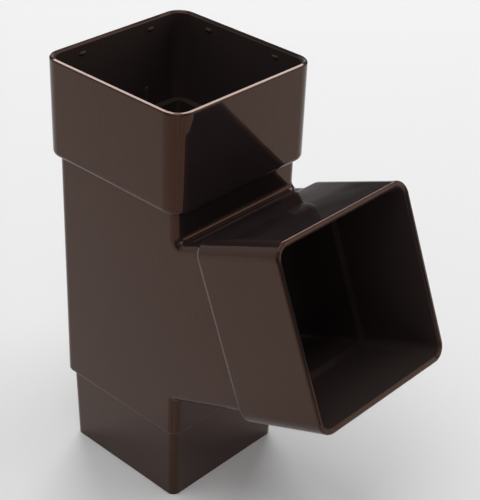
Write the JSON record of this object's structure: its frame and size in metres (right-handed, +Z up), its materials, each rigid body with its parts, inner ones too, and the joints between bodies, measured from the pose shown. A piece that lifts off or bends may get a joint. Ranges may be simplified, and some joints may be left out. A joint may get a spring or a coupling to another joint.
{
  "type": "downpipe y branch",
  "caption": "Square rainwater downpipe branch moulded in one piece: an upright run with a socket on top and a spigot below, and a slanted side branch that ends in a socket.",
  "frame": {"origin": "centre of the spigot's lower end, on the axis of the run", "axes": "+Z up along the run towards its socket, +X the side the branch leaves on, +Y across the fitting"},
  "size_m": [0.142, 0.0706, 0.1735],
  "materials": {
    "upvc": "gloss"
  },
  "bodies": {
    "root": {"branch_fitting": "upvc"}
  },
  "joints": []
}
